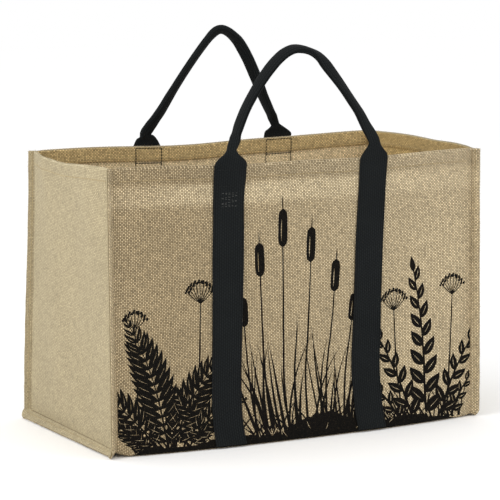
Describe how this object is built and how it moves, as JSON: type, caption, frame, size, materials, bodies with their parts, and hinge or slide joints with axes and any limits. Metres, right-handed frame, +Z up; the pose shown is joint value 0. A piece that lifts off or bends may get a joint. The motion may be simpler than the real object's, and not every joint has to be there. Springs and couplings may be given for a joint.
{
  "type": "burlap tote bag",
  "caption": "Open-topped box-shaped tote of coarse woven burlap with a hemmed rim, turned-out side seams and arched webbing handles that are sewn up its panels.",
  "frame": {"origin": "on the supporting surface under the centre of the bag's bounding box", "axes": "+Z up, +X along the width of the bag, the printed front panel faces -Y"},
  "size_m": [0.629, 0.3398, 0.5848],
  "materials": {
    "body_burlap": "coarse plain-woven jute burlap with a dark print on the front",
    "left_gusset_burlap": "coarse plain-woven jute burlap",
    "right_gusset_burlap": "coarse plain-woven jute burlap",
    "front_handle_webbing": "black woven cotton webbing",
    "back_handle_webbing": "black woven cotton webbing"
  },
  "bodies": {
    "root": {"body_cloth": "body_burlap", "left_gusset": "left_gusset_burlap", "right_gusset": "right_gusset_burlap", "front_handle": "front_handle_webbing", "back_handle": "back_handle_webbing"}
  },
  "joints": []
}
